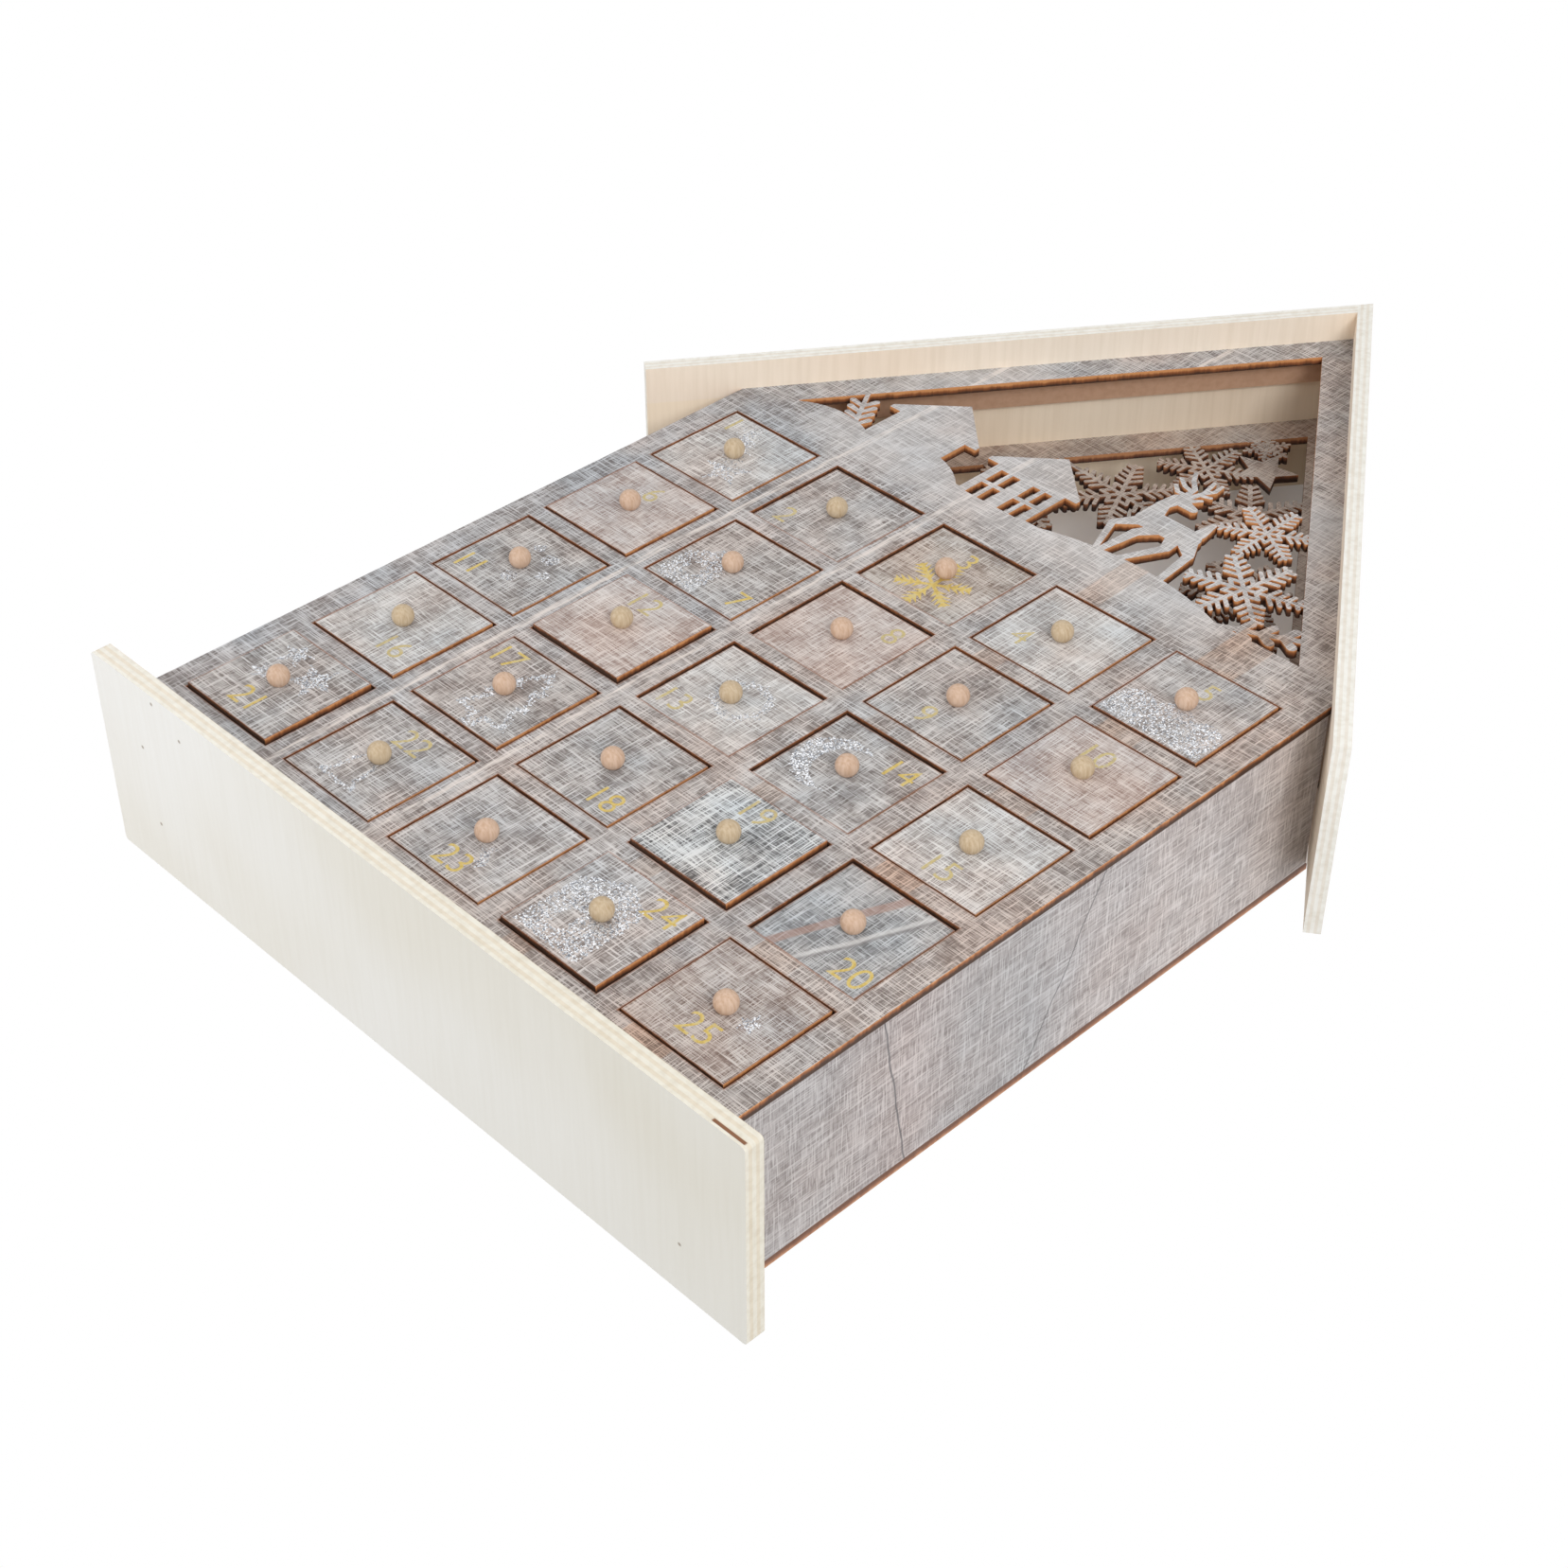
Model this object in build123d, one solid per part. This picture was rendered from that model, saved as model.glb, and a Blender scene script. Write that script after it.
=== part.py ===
from build123d import *
import math
import os

# Wooden advent calendar shaped as a house, standing on its base board.
# Millimetres, +Z up, front facing -Y, base underside on Z = 0, origin under the middle of the whole object.

# Sheets the parts are cut from
ply = 3.0
tray_ply = 2.5
base_thickness = 6.5
roof_thickness = 5.5

# Drawer windows in the front sheet and the wood left around them
columns = 5
rows = 5
window = 41.4
stile = 8.6
rail = 6.6
side_margin = 9.8
bottom_rail = 9.8
top_rail = 11.8

# House body, base board and roof
body_depth = 65.2
roof_slope = 55.0
base_side_overhang = 15.4
base_front_overhang = 8.5
base_back_overhang = 1.4
base_corner_radius = 1.5
roof_front_overhang = 11.0
roof_back_setback = 3.2
eave_overhang = 34.5
wall_top_gap = 1.0

# Drawers, which rest low in their windows; some stand a little proud of the front, some are sunk in it
drawer_gap = 0.8
drawer_sag = 0.3
slide_clearance = 0.3
tray_inset = 0.4
tray_height = 35.0
tray_back_gap = 1.5
slight_pull = 0.6
clear_pull = 1.7
slight_sink = 0.7
slightly_proud = (5, 6, 10, 16, 17, 25)
clearly_proud = (12, 19, 21, 24)
slightly_sunk = (2, 3, 8, 13, 14, 20)

# Turned bead knob, flat where it meets the drawer front, with a peg glued into it
knob_diameter = 7.3
knob_reach = 6.5
peg_diameter = 3.0
peg_clearance = 0.05

# Crossing boards behind the front, halved into each other
lap_clearance = 0.1

# Gable opening in the front sheet, and the battens that hold the roof behind it
gable_border = 10.8
sill_rise = 9.0
batten_width = 12.0
batten_end_gap = 8.0

# Cut-out snowflakes: least bar width and barb spacing, and how far an arm runs into what holds it
flake_arms = 6
flake_bar_least = 1.3
barb_spacing_least = 2.6
flake_bite = 2.5

# Snowflake sizes as shares of its radius: bar width, side of the diamonds round the middle, places and
# lengths of an arm's first and last barbs, and the barbs' spacing
flake_bar_share = 0.078
flake_diamond = 0.2
first_barb_place = 0.4
last_barb_place = 0.9
first_barb_length = 0.25
last_barb_length = 0.13
barb_spacing_share = 0.16

# Snowy hills along the sill, each a round top with its place, height and radius
hills = ((-93.0, 5.5, 30.0), (-56.0, 9.0, 30.0), (40.0, 6.5, 110.0))

# Two cut-out houses, each with its middle, wall width, wall height and ridge height over the sill
plain_house = (-65.0, 31.0, 20.5, 41.0)
window_house = (-18.0, 30.0, 20.0, 39.5)
house_eave = 5.0
eave_edge = 2.0
pane_width = 3.4
pane_height = 8.4
pane_bar = 1.9
lower_pane_height = 3.2
house_window_spacing = 14.4

# Snowflakes held by the front sheet's right border: height over the sill, radius, gap to the border, turn
front_right_flakes = ((52.1, 16.5, -2.8, -5.0), (21.0, 20.3, -1.0, -17.0))

# Ferns at the two ends of the sill, each with its side, its root along the sill, the height of its tip,
# its stem radius, and the spacing, number, length and radius of its leaves
left_fern = (-1, -83.5, 22.5, 0.85, 4.2, 4, 5.6, 1.2)
right_fern = (1, 79.0, 12.0, 1.3, 7.2, 3, 5.5, 1.7)
fern_leaf_angle = 50.0

# Inner screen in the middle of the gable, with snowflakes on its border and on its lower strip
screen_setback = 33.0
screen_border = 12.0
screen_strip = 12.0
screen_left_flakes = (
    (48.0, 22.0, 0.9, 15.0),
    (76.6, 21.0, 6.0, 30.0),
    (112.0, 18.0, -2.6, 5.0),
    (139.5, 9.5, -4.6, 35.0),
)
screen_right_flakes = (
    (24.0, 18.0, -2.5, 0.0),
    (58.0, 21.0, -2.5, 0.0),
    (98.5, 21.0, -3.0, 33.0),
)
screen_ground_flakes = ((-28.0, 20.0), (18.0, 22.0))

# Star near the top of the inner screen
star_points = 5
star_place = 3.0
star_height = 126.5
star_radius = 12.5
star_waist = 0.45
star_tilt = 12.0

# Reindeer: where it stands, and its limbs with start, end and the two end radii
deer_place = 36.0
deer_body_and_head = (
    ((-10.7, 24.3), (5.0, 24.3), 5.3, 5.1),
    ((-11.8, 26.3), (-13.2, 34.3), 4.0, 2.5),
    ((-13.2, 34.3), (-11.9, 40.5), 2.5, 3.0),
    ((-11.6, 40.5), (-4.1, 38.9), 3.0, 1.6),
    ((-8.0, 42.7), (-5.6, 45.3), 1.1, 0.7),
    ((6.8, 28.8), (6.7, 36.6), 2.4, 1.1),
)
deer_antlers = (
    ((-11.4, 42.8), (-11.7, 49.3), 1.3, 1.0),
    ((-11.7, 49.3), (-15.4, 53.2), 1.0, 0.9),
    ((-15.4, 53.2), (-17.9, 57.5), 0.9, 0.75),
    ((-11.8, 44.2), (-15.2, 44.2), 1.0, 0.85),
    ((-15.2, 44.2), (-18.2, 47.0), 0.85, 0.75),
    ((-11.7, 47.6), (-15.4, 48.5), 0.9, 0.85),
    ((-15.4, 48.5), (-19.4, 51.5), 0.85, 0.75),
    ((-10.0, 43.1), (-8.0, 49.5), 1.3, 1.0),
    ((-8.0, 49.5), (-6.0, 52.9), 1.0, 0.9),
    ((-6.0, 52.9), (-6.3, 57.2), 0.9, 0.75),
    ((-8.0, 49.5), (-9.4, 56.8), 0.9, 0.75),
    ((-8.6, 47.5), (-4.6, 48.9), 0.9, 0.75),
)
deer_legs = (
    ((-13.4, 20.6), (-18.5, 14.3), 2.6, 1.45),
    ((-18.5, 14.3), (-12.6, -1.4), 1.35, 1.0),
    ((-4.9, 20.8), (-9.0, 14.9), 2.8, 2.1),
    ((-9.0, 14.9), (-10.9, -1.2), 2.05, 1.3),
    ((2.4, 21.3), (4.1, 14.5), 3.1, 1.95),
    ((4.1, 14.5), (-3.2, -1.0), 1.85, 1.3),
    ((7.0, 22.3), (12.2, 16.5), 3.6, 1.9),
    ((12.2, 16.5), (14.3, -1.5), 1.75, 1.35),
)

# Sizes that follow from the ones above
slope = math.radians(roof_slope)
column_pitch = window + stile
row_pitch = window + rail
body_width = (columns - 1) * column_pitch + window + 2 * side_margin
half_width = body_width / 2
inner_half_width = half_width - ply
eave_height = bottom_rail + (rows - 1) * row_pitch + window + top_rail
apex_height = eave_height + half_width * math.tan(slope)
sill = eave_height + sill_rise
front_y = (roof_front_overhang - body_depth - base_back_overhang) / 2
back_y = front_y + body_depth
cell_front_y = front_y + ply
cell_back_y = back_y - ply
shelf_lift = drawer_gap - drawer_sag - slide_clearance
ceiling_top = bottom_rail + rows * row_pitch + shelf_lift
drawer_front = window - 2 * drawer_gap
tray_width = drawer_front - 2 * tray_inset
tray_length = cell_back_y - tray_back_gap - cell_front_y


def block(x_range, y_range, z_range):
    """Rectangular board between two corners, with heights counted from the base board's top face."""
    spans = (x_range, y_range, z_range)
    size = [high - low for low, high in spans]
    middle = [(high + low) / 2 for low, high in spans]
    return Pos(0, 0, base_thickness) * Pos(*middle) * Box(*size)


def sheet(profile, front, thickness):
    """Sheet with its outline drawn in X and height, from Y = front back by its thickness."""
    drawing = Plane((0, front, base_thickness), x_dir=(1, 0, 0), z_dir=(0, -1, 0))
    return extrude(drawing * profile, amount=-thickness)


def outline(*corners):
    """Closed straight-sided shape."""
    return make_face(Polyline(*corners, close=True))


def limb(start, end, start_radius, end_radius):
    """Tapered bar with round ends."""
    heading = math.atan2(end[1] - start[1], end[0] - start[0])
    lean = math.acos((start_radius - end_radius) / math.dist(start, end))

    def rim(centre, radius, angle):
        return (centre[0] + radius * math.cos(angle), centre[1] + radius * math.sin(angle))

    start_left = rim(start, start_radius, heading + lean)
    start_right = rim(start, start_radius, heading - lean)
    end_left = rim(end, end_radius, heading + lean)
    end_right = rim(end, end_radius, heading - lean)
    edges = [
        Line(start_right, end_right),
        ThreePointArc(end_right, rim(end, end_radius, heading), end_left),
        Line(end_left, start_left),
        ThreePointArc(start_left, rim(start, start_radius, heading + math.pi), start_right),
    ]
    return make_face(edges)


def step_from(place, distance, angle):
    """Point at a distance from another, in the direction of an angle in degrees."""
    turn = math.radians(angle)
    return (place[0] + distance * math.cos(turn), place[1] + distance * math.sin(turn))


def flake_barbs(radius):
    """Place along an arm and length of each pair of barbs; the innermost meet in diamonds."""
    spacing = max(barb_spacing_share, barb_spacing_least / radius)
    reach = last_barb_place - first_barb_place
    barbs = [(flake_diamond * radius, flake_diamond * radius)]
    for barb in range(int(reach / spacing) + 1):
        out = barb * spacing
        length = first_barb_length + (last_barb_length - first_barb_length) * out / reach
        barbs.append(((first_barb_place + out) * radius, length * radius))
    return barbs


def snowflake(centre, radius, arm_angle, first_arm):
    """Arms with pairs of barbs like a feather's; the first arm has its own length."""
    bar_radius = max(flake_bar_share * radius, flake_bar_least) / 2
    arm_step = 360 / flake_arms
    bars = []
    for arm in range(flake_arms):
        along = arm_angle + arm * arm_step
        reach = first_arm if arm == 0 else radius
        bars.append(limb(centre, step_from(centre, reach - bar_radius, along), bar_radius, bar_radius))
        for place, length in flake_barbs(radius):
            root = step_from(centre, place, along)
            for side in (-1, 1):
                tip = step_from(root, length, along + side * arm_step)
                bars.append(limb(root, tip, bar_radius, bar_radius))
    return Sketch() + bars


def border_reach(height, border):
    """Half width of the gable at a height, inside a border of the given width."""
    return half_width - (height - eave_height) / math.tan(slope) - border / math.sin(slope)


def gable_triangle(border, floor):
    """Gable space between the two roof slopes, inside a border and above a floor."""
    reach = border_reach(floor, border)
    ridge = apex_height - border / math.cos(slope)
    return outline((-reach, floor), (reach, floor), (0, ridge))


def border_flake(side, border, height, radius, gap, turn):
    """Snowflake whose first arm runs into the border of the given side."""
    level = sill + height
    inset = radius + gap
    centre = (side * (border_reach(level, border) - inset / math.sin(slope)), level)
    facing = 90 - roof_slope if side > 0 else 90 + roof_slope
    first_arm = inset / math.cos(math.radians(turn)) + flake_bite
    return snowflake(centre, radius, facing + turn, max(first_arm, radius))


def star():
    """Tilted star that the snowflakes beside it hold."""
    centre = (star_place, sill + star_height)
    corners = []
    for corner in range(2 * star_points):
        radius = star_radius if corner % 2 == 0 else star_radius * star_waist
        corners.append(step_from(centre, radius, 90 + star_tilt + 180 * corner / star_points))
    return outline(*corners)


def toy_house(middle, wall_width, wall_height, ridge_height):
    """House silhouette with overhanging eaves, rooted below the sill."""
    half = wall_width / 2
    tip = half + house_eave
    return outline(
        (middle - half, sill - sill_rise),
        (middle + half, sill - sill_rise),
        (middle + half, sill + wall_height),
        (middle + tip, sill + wall_height),
        (middle + tip, sill + wall_height + eave_edge),
        (middle, sill + ridge_height),
        (middle - tip, sill + wall_height + eave_edge),
        (middle - tip, sill + wall_height),
        (middle - half, sill + wall_height),
    )


def house_panes():
    """Two four-pane windows of the smaller house."""
    middle = window_house[0]
    panes = []
    for house_window in (-house_window_spacing / 2, house_window_spacing / 2):
        for column in (-1, 1):
            for row in (0, 1):
                x = middle + house_window + column * (pane_width + pane_bar) / 2
                z = sill + lower_pane_height + row * (pane_height + pane_bar)
                panes.append(Pos(x, z) * Rectangle(pane_width, pane_height))
    return panes


def hill_top(place, height, radius):
    """Round snowy hill rising over the sill."""
    return Pos(place, sill + height - radius) * Circle(radius)


def reindeer():
    """Reindeer looking back over its shoulder, standing on the widest hill."""
    hill_place, hill_height, hill_radius = hills[-1]
    drop = hill_radius - math.sqrt(hill_radius**2 - (deer_place - hill_place) ** 2)
    ground = sill + hill_height - drop

    limbs = [limb(*sizes) for sizes in deer_body_and_head + deer_antlers + deer_legs]
    return [Pos(deer_place, ground) * piece for piece in limbs]


def fern(side, place, height, stem_radius, leaf_pitch, leaf_pairs, leaf_length, leaf_radius):
    """Fern that grows from the sill into the border of the given side."""
    tip = (side * (border_reach(sill + height, gable_border) + flake_bite), sill + height)
    root = (place, sill - stem_radius)
    heading = math.degrees(math.atan2(tip[1] - root[1], tip[0] - root[0]))
    pieces = [limb(root, tip, stem_radius, stem_radius)]
    for pair in range(1, leaf_pairs + 1):
        foot = step_from(root, leaf_pitch * pair, heading)
        for turn in (-fern_leaf_angle, fern_leaf_angle):
            end = step_from(foot, leaf_length, heading + turn)
            pieces.append(limb(foot, end, stem_radius, leaf_radius))
    return pieces


def column_x(column):
    """Middle of a drawer column, counted from the left."""
    return (column - (columns - 1) / 2) * column_pitch


def row_z(row):
    """Middle of a drawer row over the base board, counted from the bottom."""
    return bottom_rail + window / 2 + row * row_pitch


def drawer_seat(number):
    """Middle of a numbered drawer's front and how far it is pulled out; number one is at the top left."""
    row_from_top, column = divmod(number - 1, columns)
    pull = slight_pull * (number in slightly_proud) + clear_pull * (number in clearly_proud)
    pull -= slight_sink * (number in slightly_sunk)
    return column_x(column), row_z(rows - 1 - row_from_top) - drawer_sag, pull


def front_panel():
    """House-shaped front sheet with drawer windows and the winter scene in its gable."""
    house = outline(
        (-half_width, 0),
        (half_width, 0),
        (half_width, eave_height),
        (0, apex_height),
        (-half_width, eave_height),
    )
    seats = [(column_x(column), row_z(row)) for column in range(columns) for row in range(rows)]
    windows = [Pos(*seat) * Rectangle(window, window) for seat in seats]
    opening = gable_triangle(gable_border, sill)
    ground = [opening & hill_top(*hill) for hill in hills]
    scene = [toy_house(*plain_house), toy_house(*window_house)] + reindeer()
    scene += fern(*left_fern) + fern(*right_fern)
    scene += [border_flake(1, gable_border, *flake) for flake in front_right_flakes]
    profile = house - windows - opening + ground + scene - house_panes()
    return sheet(profile, front_y, ply)


def gable_screen():
    """Inner gable sheet of snowflakes and a star, standing on the ceiling board."""
    shoulder = eave_height + (half_width - inner_half_width) * math.tan(slope)
    whole = outline(
        (-inner_half_width, ceiling_top),
        (inner_half_width, ceiling_top),
        (inner_half_width, shoulder),
        (0, apex_height),
        (-inner_half_width, shoulder),
    )
    strip_top = ceiling_top + screen_strip
    flakes = [border_flake(-1, screen_border, *flake) for flake in screen_left_flakes]
    flakes += [border_flake(1, screen_border, *flake) for flake in screen_right_flakes]
    for place, radius in screen_ground_flakes:
        flakes.append(snowflake((place, strip_top + radius - flake_bite), radius, 90, radius))
    profile = whole - gable_triangle(screen_border, strip_top) + flakes + star()
    return sheet(profile, front_y + screen_setback, ply)


def back_panel():
    """Rectangular back sheet behind the drawer cells; the gable over it is open."""
    return block((-half_width, half_width), (cell_back_y, back_y), (0, eave_height))


def side_wall(side):
    """Side wall held between the front and back sheets."""
    x_range = sorted((side * inner_half_width, side * half_width))
    return block(x_range, (cell_front_y, cell_back_y), (0, eave_height - wall_top_gap))


def base_board():
    """Board with rounded corners that the house stands on."""
    half = half_width + base_side_overhang
    y_range = (front_y - base_front_overhang, back_y + base_back_overhang)
    board = block((-half, half), y_range, (-base_thickness, 0))
    return fillet(board.edges().filter_by(Axis.Z), base_corner_radius)


def along_slope(side, distance, depth):
    """Point beside a roof slope: distance down from the ridge, depth over its underside."""
    x = distance * math.cos(slope) + depth * math.sin(slope)
    return (side * x, apex_height - distance * math.sin(slope) + depth * math.cos(slope))


def roof_panel(side):
    """Sloping roof board; the right one covers the upper end of the left one."""
    eave_end = half_width / math.cos(slope) + eave_overhang
    lap = roof_thickness / math.sin(2 * slope)
    inner_top = along_slope(side, -lap, 0) if side > 0 else along_slope(side, 0, 0)
    outer_top = (0, apex_height + roof_thickness / math.cos(slope)) if side > 0 else along_slope(1, -lap, 0)
    profile = outline(
        inner_top,
        along_slope(side, eave_end, 0),
        along_slope(side, eave_end, roof_thickness),
        outer_top,
    )
    depth = roof_front_overhang + body_depth - roof_back_setback
    return sheet(profile, front_y - roof_front_overhang, depth)


def gable_battens():
    """Two strips glued in the corner of front sheet and roof."""
    lower = (half_width - ply) / math.cos(slope)
    strips = []
    for side in (-1, 1):
        profile = outline(
            along_slope(side, batten_end_gap, 0),
            along_slope(side, lower - batten_end_gap, 0),
            along_slope(side, lower - batten_end_gap, -ply),
            along_slope(side, batten_end_gap, -ply),
        )
        strips.append(sheet(profile, cell_front_y, batten_width))
    return strips


def divider_grid():
    """Shelves and uprights halved into each other, with the ceiling board on top."""
    middle_y = (cell_front_y + cell_back_y) / 2
    slot_half = ply / 2 + lap_clearance
    upright_x = [column_x(c) + column_pitch / 2 for c in range(columns - 1)]
    shelf_tops = [bottom_rail + r * row_pitch + shelf_lift for r in range(rows)]
    full_x = (-inner_half_width, inner_half_width)
    full_y = (cell_front_y, cell_back_y)
    boards = [block(full_x, full_y, (ceiling_top - ply, ceiling_top))]
    front_half = (cell_front_y, middle_y + lap_clearance)
    back_half = (middle_y - lap_clearance, cell_back_y)
    for top in shelf_tops:
        thick = (top - ply, top)
        slots = [block((x - slot_half, x + slot_half), front_half, thick) for x in upright_x]
        boards.append(block(full_x, full_y, thick) - slots)
    for x in upright_x:
        span = (x - ply / 2, x + ply / 2)
        upright = block(span, full_y, (0, ceiling_top - ply))
        heights = [(top - ply - lap_clearance, top + lap_clearance) for top in shelf_tops]
        boards.append(upright - [block(span, back_half, height) for height in heights])
    return boards


def drawer(number):
    """Drawer of five boards: a front that fills its window, two sides, a back and a bottom."""
    x, z, pull = drawer_seat(number)
    face_y = front_y - pull
    tray_front = face_y + ply
    tray_back = tray_front + tray_length
    foot = z - drawer_front / 2
    half = tray_width / 2
    inner = half - tray_ply
    board = block(
        (x - drawer_front / 2, x + drawer_front / 2),
        (face_y, tray_front),
        (foot, foot + drawer_front),
    )
    hole = Pos(x, tray_front, base_thickness + z) * Rot(90, 0, 0)
    board -= hole * Cylinder(peg_diameter / 2 + peg_clearance, 2 * ply)
    tall = (foot, foot + tray_height)
    left = block((x - half, x - inner), (tray_front, tray_back), tall)
    right = block((x + inner, x + half), (tray_front, tray_back), tall)
    back = block((x - inner, x + inner), (tray_back - tray_ply, tray_back), tall)
    bottom = block((x - inner, x + inner), (tray_front, tray_back - tray_ply), (foot, foot + tray_ply))
    return [board, left, right, back, bottom]


def knob(number):
    """Turned bead with a flat foot, and a peg through the drawer front."""
    x, z, pull = drawer_seat(number)
    bead = knob_diameter / 2
    peg = peg_diameter / 2
    middle = knob_reach - bead
    foot = math.sqrt(bead**2 - middle**2)
    half_profile = [
        Polyline((0, knob_reach), (0, -ply), (peg, -ply), (peg, 0), (foot, 0)),
        ThreePointArc((foot, 0), (bead, middle), (0, knob_reach)),
    ]
    turned = revolve(make_face(half_profile), Axis.Y)
    return Pos(x, front_y - pull, base_thickness + z) * Rot(180, 0, 0) * turned


parts = {
    "base_board": base_board(),
    "wall_left": side_wall(-1),
    "wall_right": side_wall(1),
    "front_panel": front_panel(),
    "back_panel": back_panel(),
    "divider_grid": divider_grid(),
    "gable_screen": gable_screen(),
    "gable_battens": gable_battens(),
    "roof_left": roof_panel(-1),
    "roof_right": roof_panel(1),
}
for number in range(1, columns * rows + 1):
    parts[f"drawer_{number:02d}"] = drawer(number)
    parts[f"knob_{number:02d}"] = knob(number)

os.makedirs("parts", exist_ok=True)
for node, shape in parts.items():
    solids = Compound(shape).solids() if isinstance(shape, list) else shape.solids()
    export_step(Compound(solids), f"parts/{node}.step")
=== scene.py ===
import math
import random

import bmesh
import bpy
from mathutils import Matrix, Vector


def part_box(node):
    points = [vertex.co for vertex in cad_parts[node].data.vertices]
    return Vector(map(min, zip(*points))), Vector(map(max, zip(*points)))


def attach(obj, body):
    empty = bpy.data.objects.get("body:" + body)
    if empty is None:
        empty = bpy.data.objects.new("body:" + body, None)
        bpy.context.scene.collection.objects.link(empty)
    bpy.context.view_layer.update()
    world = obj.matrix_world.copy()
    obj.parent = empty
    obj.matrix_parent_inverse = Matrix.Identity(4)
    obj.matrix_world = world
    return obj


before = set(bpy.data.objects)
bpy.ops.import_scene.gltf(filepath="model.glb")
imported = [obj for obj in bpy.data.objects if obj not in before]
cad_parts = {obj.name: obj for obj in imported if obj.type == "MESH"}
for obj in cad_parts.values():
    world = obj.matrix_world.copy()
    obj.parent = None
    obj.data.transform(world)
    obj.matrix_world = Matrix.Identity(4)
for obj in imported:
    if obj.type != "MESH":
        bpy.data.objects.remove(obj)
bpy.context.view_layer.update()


# Base board: one piece of bare pale plywood, sawn square with eased corners, that the house is
# glued and pinned to. Its five veneers show on the sawn edges, and one has a brown gap in it.
rightward, backward, upward = (1, 0, 0), (0, 1, 0), (0, 0, 1)
untinted = (1.0, 1.0, 1.0, 1.0)


def colour(red, green, blue):
    """A colour as a paint chart gives it, 0 to 255, turned into the light that it gives back."""
    return tuple(((c / 255 + 0.055) / 1.055) ** 2.4 for c in (red, green, blue)) + (1.0,)


def tint(red, green, blue):
    """A glaze, as the share that it lets through of each light."""
    return red, green, blue, 1.0


def step(tree, kind, feeds=(), out=0, **settings):
    """Adds one node to a finish, feeds it with values or with other nodes, and gives its outlet."""
    node = tree.nodes.new("ShaderNode" + kind)
    for name, value in settings.items():
        setattr(node, name, value)
    for socket, value in dict(feeds).items():
        if isinstance(value, bpy.types.NodeSocket):
            tree.links.new(value, node.inputs[socket])
        else:
            node.inputs[socket].default_value = value
    return node.outputs[out]


def reckon(tree, operation, *values):
    """One sum on numbers that vary over the wood."""
    return step(tree, "Math", enumerate(values), operation=operation)


def product(tree, first, *others):
    """Several shares multiplied, so that what is left is where they meet."""
    for other in others:
        first = reckon(tree, "MULTIPLY", first, other)
    return first


def where(tree):
    """A place on the object, in metres."""
    return step(tree, "TexCoord", out="Object")


def along(tree, vector, direction):
    """How far a place or a surface's facing reaches in one direction."""
    return step(tree, "VectorMath", {0: vector, 1: direction}, "Value", operation="DOT_PRODUCT")


def facing(tree, direction):
    """1 where the surface faces in a direction, -1 where it faces away from it."""
    return along(tree, step(tree, "NewGeometry", out="True Normal"), direction)


def figure(tree, place, waves, detail=3.0):
    """Wood figure, drawn out by giving its waves to the metre along x, y and z."""
    drawn = step(tree, "VectorMath", {0: place, 1: waves}, operation="MULTIPLY")
    return step(tree, "TexNoise", {"Vector": drawn, "Scale": 1.0, "Detail": detail, "Roughness": 0.55})


def mottle(tree, place, fineness, detail=2.0):
    """Figure that isn't drawn out, with the same waves to the metre in all directions."""
    return figure(tree, place, (fineness,) * 3, detail)


def waver(tree, place, fineness, reach, value):
    """A value made unsteady, so that a straight line on the wood sways by up to reach."""
    return reckon(tree, "MULTIPLY_ADD", mottle(tree, place, fineness), reach, value)


def fade(tree, value, start, end, low=0.0, high=1.0, course="SMOOTHSTEP"):
    """Runs from low to high while the value runs from start to end."""
    feeds = {0: value, 1: start, 2: end, 3: low, 4: high}
    return step(tree, "MapRange", feeds, interpolation_type=course)


def between(tree, value, low, high, soft):
    """1 where the value lies from low to high, dying away over soft at both ends."""
    rise = fade(tree, value, low - soft, low)
    fall = fade(tree, value, high, high + soft)
    return reckon(tree, "SUBTRACT", rise, fall)


def shade(tree, value, *stops):
    """Colours laid along a value, each with its place on it."""
    outlet = step(tree, "ValToRGB", {0: value})
    ramp = outlet.node.color_ramp
    for spare in range(len(stops) - 2):
        ramp.elements.new(0.5)
    for element, (position, paint) in zip(ramp.elements, stops):
        element.position = position
        element.color = paint
    return outlet


def blend(tree, share, under, over, way="MIX"):
    """Lays one colour over another by share."""
    return step(tree, "Mix", {0: share, 6: under, 7: over}, 2, data_type="RGBA", blend_type=way)


def glaze(tree, paint, tone, share=1.0):
    """Lays a tint over a colour, which then shows through it."""
    return blend(tree, share, paint, tone, "MULTIPLY")


def new_finish(name):
    """An empty finish and its nodes."""
    finish = bpy.data.materials.new(name)
    finish.use_nodes = True
    return finish, finish.node_tree


def coat(tree, paint, roughness, height, depth):
    """Joins a finish's colour, roughness and surface height to its shader."""
    shader = tree.nodes["Principled BSDF"]
    tree.links.new(paint, shader.inputs["Base Color"])
    tree.links.new(roughness, shader.inputs["Roughness"])
    relief = step(tree, "Bump", {"Height": height, "Strength": 0.5, "Distance": depth})
    tree.links.new(relief, shader.inputs["Normal"])
    shader.inputs["Specular IOR Level"].default_value = 0.25


def bare_coat(tree, paint, fibre, dull=0.72, sanded=0.55):
    """Bare wood, between dull and sanded smooth, with its fibre standing up a little."""
    coat(tree, paint, fade(tree, fibre, 0.2, 0.8, dull, sanded), fibre, 0.0001)


def dress(node_name, finish):
    """Gives a piece of the frame its finish."""
    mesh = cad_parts[node_name].data
    mesh.materials.clear()
    mesh.materials.append(finish)


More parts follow.
